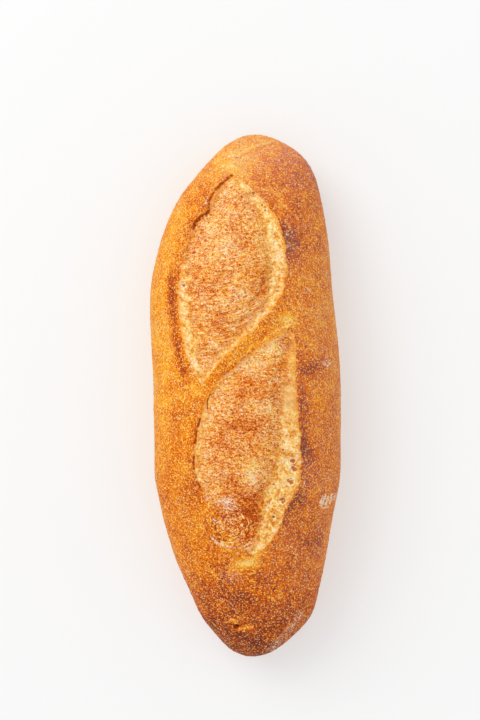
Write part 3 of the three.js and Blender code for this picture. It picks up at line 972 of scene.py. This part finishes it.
# painted shade inside the small pores and the pits
pore_shade = work(tree, "MAXIMUM", times(stored("pore"), SMALL_PORE_SHADE_COVER), pits)
colour = over(pore_shade, PORE_SHADE_COVER, colour, PORE_SHADE_COLOUR)
# dark cracks, partly burnt brown and partly painted shade
broken_crack_shade = times(stored("crack_and_shade"), patchy(1, CRACK_PATCHES))
colour = over(step(tree, broken_crack_shade, *CRACK_EDGE), CRACK_SHADE_COVER, colour, CRACK_BURN_AND_SHADE_COLOUR)
colour = over(step(tree, tangled, *TANGLE_EDGE), TANGLE_COVER, colour, TANGLE_COLOUR)
curls = step(tree, work(tree, "ABSOLUTE", mottle(tree, where, *CURL_NOISE)), *CURL_EDGE)
drifts = plus(DRIFT_SHARE, (mottle(tree, where, *DRIFT_NOISE), DRIFT_STRENGTH))
dusty = times(stored("flour"), work(tree, "MAXIMUM", times(curls, CURL_STRENGTH), drifts))
colour = over(step(tree, dusty, *FLOUR_EDGE), FLOUR_COVER, colour, FLOUR_COLOUR)
feed(tree, shader.inputs["Base Color"], colour)

# How rough the surface is, how much light sinks into it, and its grain
CRUST_ROUGHNESS = 0.58
DOUGH_ROUGHER = 0.16
ROUGHNESS_PATCHES = [(3, 2, 0.08)]
CRUST_GLOW = 0.1
DOUGH_GLOW = 0.4
GRAIN_NOISE = (0.9, 2, 0.6)
FLECKS_IN_GRAIN = 0.4
STRANDS_IN_GRAIN = 0.4
FOAM_IN_GRAIN = 0.5
GRAIN_DEPTH = 0.3
GRAIN_STRENGTH = 0.6
roughness = patchy(plus(CRUST_ROUGHNESS, (in_slash, DOUGH_ROUGHER)), ROUGHNESS_PATCHES)
feed(tree, shader.inputs["Roughness"], roughness)
feed(tree, shader.inputs["Subsurface Weight"], plus(CRUST_GLOW, (in_slash, DOUGH_GLOW)))
grain = plus(
    mottle(tree, where, *GRAIN_NOISE), (flecks, FLECKS_IN_GRAIN), (strands, STRANDS_IN_GRAIN),
    (times(walls, crumb), FOAM_IN_GRAIN),
)
bumps = {"Height": grain, "Distance": GRAIN_DEPTH * MM, "Strength": GRAIN_STRENGTH}
feed(tree, shader.inputs["Normal"], add(tree, "ShaderNodeBump", bumps).outputs["Normal"])

# The fine relief of the baked surface grows on the raw loaf: lumps and blisters on the crust, ripples and
# swellings on the opened dough, and clusters of pores where its crumb is torn
RELIEF_SIZES = {
    "Lump length": 22, "Lump height": 0.5, "Swelling length": 9, "Swelling height": 0.9,
    "Ripple length": 2.6, "Ripple height": 0.9, "Blister spacing": 3, "Blister size": 1.2,
    "Blister height": 0.25, "Cluster length": 6, "Pore spacing": 1.2, "Pore size": 1.1, "Pore depth": 0.7,
}
RELIEF_SEED = 7
RIPPLE_DETAIL = 3
MOST_DOMES = 4e5
DOME_SIZES = (0.3, 1.2)
TORN_EDGE = (0.8, 2)
CLUSTER_EDGE = (-0.15, 0.35)
RIPPLES_ON_CRUMB = -0.7
relief = bpy.data.node_groups.new("baked_relief", "GeometryNodeTree")
relief.interface.new_socket("Geometry", in_out="OUTPUT", socket_type="NodeSocketGeometry")
relief.interface.new_socket("Geometry", in_out="INPUT", socket_type="NodeSocketGeometry")
kinds = {name: "NodeSocketFloat" for name in RELIEF_SIZES}
kinds["Seed"] = "NodeSocketInt"
kinds["Finish"] = "NodeSocketMaterial"
relief_inputs = {}
for name, kind in kinds.items():
    relief_inputs[name] = relief.interface.new_socket(name, in_out="INPUT", socket_type=kind)
given = add(relief, "NodeGroupInput").outputs
here = add(relief, "GeometryNodeInputPosition").outputs[0]


def on_point(name, kind="FLOAT"):
    return add(relief, "GeometryNodeInputNamedAttribute", {"Name": name}, data_type=kind).outputs["Attribute"]


def both(first, second):
    return work(relief, "MULTIPLY", first, second)


def waves(place, length, detail=2):
    """Noise between about -1 and 1, with patches as long as the input of that name."""
    scale = work(relief, "DIVIDE", 1, given[length])
    noise = add(relief, "ShaderNodeTexNoise", {"Vector": place, "Scale": scale, "Detail": detail})
    return work(relief, "MULTIPLY_ADD", noise.outputs[0], 2, -1)


def domes(density, spacing, size):
    """Round domes, 0 to 1 high and uneven in size, strewn over the surface where the density says."""
    strewn = add(relief, "GeometryNodeDistributePointsOnFaces", {
        "Mesh": given["Geometry"], "Distance Min": given[spacing], "Density Max": MOST_DOMES,
        "Density Factor": density, "Seed": given["Seed"],
    }, distribute_method="POISSON").outputs["Points"]
    search = {0: strewn, "Sample Position": here}
    closest = add(relief, "GeometryNodeProximity", search, target_element="POINTS").outputs["Distance"]
    index = add(relief, "GeometryNodeSampleNearest", search).outputs["Index"]
    smallest, largest = DOME_SIZES
    draw = {2: smallest, 3: largest, "Seed": given["Seed"]}
    uneven = add(relief, "FunctionNodeRandomValue", draw, data_type="FLOAT").outputs[1]
    sample = {"Geometry": strewn, "Value": uneven, "Index": index}
    reach = both(given[size], add(relief, "GeometryNodeSampleIndex", sample).outputs[0])
    return step(relief, work(relief, "DIVIDE", closest, reach), 1, 0)


off_ground = on_point("off_ground")
in_dough = on_point("opened")
on_crust = both(work(relief, "SUBTRACT", 1, in_dough), off_ground)
torn_crumb = both(step(relief, on_point("pale"), *TORN_EDGE), in_dough)
clusters = both(torn_crumb, step(relief, waves(here, "Cluster length"), *CLUSTER_EDGE))
blister = both(domes(on_crust, "Blister spacing", "Blister size"), on_crust)
pore = both(domes(clusters, "Pore spacing", "Pore size"), torn_crumb)
lumps = both(waves(here, "Lump length"), off_ground)
swellings = both(waves(here, "Swelling length"), in_dough)
ripples = both(waves(on_point("strand", "FLOAT_VECTOR"), "Ripple length", RIPPLE_DETAIL), in_dough)
ripples = both(ripples, work(relief, "MULTIPLY_ADD", torn_crumb, RIPPLES_ON_CRUMB, 1))
lift = both(lumps, given["Lump height"])
lift = work(relief, "MULTIPLY_ADD", swellings, given["Swelling height"], lift)
lift = work(relief, "MULTIPLY_ADD", blister, given["Blister height"], lift)
lift = work(relief, "MULTIPLY_ADD", ripples, given["Ripple height"], lift)
lift = work(relief, "SUBTRACT", lift, both(pore, given["Pore depth"]))
outwards = add(relief, "GeometryNodeInputNormal").outputs[0]
push = add(relief, "ShaderNodeVectorMath", {0: outwards, "Scale": lift}, operation="SCALE").outputs[0]
grown = add(relief, "GeometryNodeSetPosition", {"Geometry": given["Geometry"], "Offset": push}).outputs[0]
grown = add(relief, "GeometryNodeStoreNamedAttribute", {
    "Geometry": grown, "Name": "pore", "Value": pore,
}, data_type="FLOAT", domain="POINT").outputs[0]
whole = add(relief, "GeometryNodeRealizeInstances", {"Geometry": grown}).outputs[0]
finished = add(relief, "GeometryNodeSetMaterial", {"Geometry": whole, "Material": given["Finish"]}).outputs[0]
feed(relief, add(relief, "NodeGroupOutput").inputs["Geometry"], finished)

growth = raw_loaf.modifiers.new("baked_relief", "NODES")
growth.node_group = relief
for name, size in RELIEF_SIZES.items():
    growth[relief_inputs[name].identifier] = size * MM
growth[relief_inputs["Seed"].identifier] = RELIEF_SEED
growth[relief_inputs["Finish"].identifier] = baked
depsgraph = bpy.context.view_layer.depsgraph
depsgraph.update()
baked_mesh = bpy.data.meshes.new_from_object(raw_loaf.evaluated_get(depsgraph))
loaf = bpy.data.objects.new("bread_loaf", baked_mesh)
bpy.context.scene.collection.objects.link(loaf)
raw_loaf.modifiers.remove(growth)
bpy.data.objects.remove(raw_loaf)

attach(loaf, "root")
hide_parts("loaf")

# The stage
# For the picture alone: a plain pale plane just under the loaf, a wide soft light from the upper left in a
# white room, and a camera straight above.
TABLE_REACH = 3.0
TABLE_DROP = 0.2
TABLE_GREY = (0.5, 0.5, 0.5, 1)
TABLE_GLOW = 0.38
WHITE = (1, 1, 1, 1)
table_mesh = bpy.data.meshes.new("table_top")
corners = [(-1, -1), (1, -1), (1, 1), (-1, 1)]
table_mesh.from_pydata([(x * TABLE_REACH, y * TABLE_REACH, 0) for x, y in corners], [], [(0, 1, 2, 3)])
table = bpy.data.objects.new("table_top", table_mesh)
bpy.context.scene.collection.objects.link(table)
table.location.z = -TABLE_DROP * MM
table_paint = bpy.data.materials.new("pale_table")
table_paint.use_nodes = True
table_shader = table_paint.node_tree.nodes["Principled BSDF"]
table_shader.inputs["Base Color"].default_value = TABLE_GREY
table_shader.inputs["Emission Color"].default_value = WHITE
table_shader.inputs["Emission Strength"].default_value = TABLE_GLOW
table_mesh.materials.append(table_paint)

LIGHT_SIZE = 2.4
LIGHT_POWER = 58
LIGHT_PLACE = (-1.9, 1.9, 2.4)
ROOM_BRIGHTNESS = 0.86
light_data = bpy.data.lights.new("window_light", "AREA")
light_data.size = LIGHT_SIZE
light_data.energy = LIGHT_POWER
light = bpy.data.objects.new("window_light", light_data)
light.location = LIGHT_PLACE
light.rotation_euler = (-light.location).to_track_quat("-Z", "Y").to_euler()
bpy.context.scene.collection.objects.link(light)
room = bpy.data.worlds.new("white_room")
bpy.context.scene.world = room
room.use_nodes = True
room_shader = room.node_tree.nodes["Background"]
room_shader.inputs["Color"].default_value = WHITE
room_shader.inputs["Strength"].default_value = ROOM_BRIGHTNESS
bpy.context.scene.view_settings.view_transform = "Standard"

CAMERA_LENS = 85
CAMERA_PLACE = (-4.35, 20.6, 1008)
camera_data = bpy.data.cameras.new("camera")
camera_data.lens = CAMERA_LENS
camera = bpy.data.objects.new("camera", camera_data)
camera.location = [place * MM for place in np.add(CAMERA_PLACE, (*to_frame[:2], 0))]
bpy.context.scene.collection.objects.link(camera)
bpy.context.scene.camera = camera
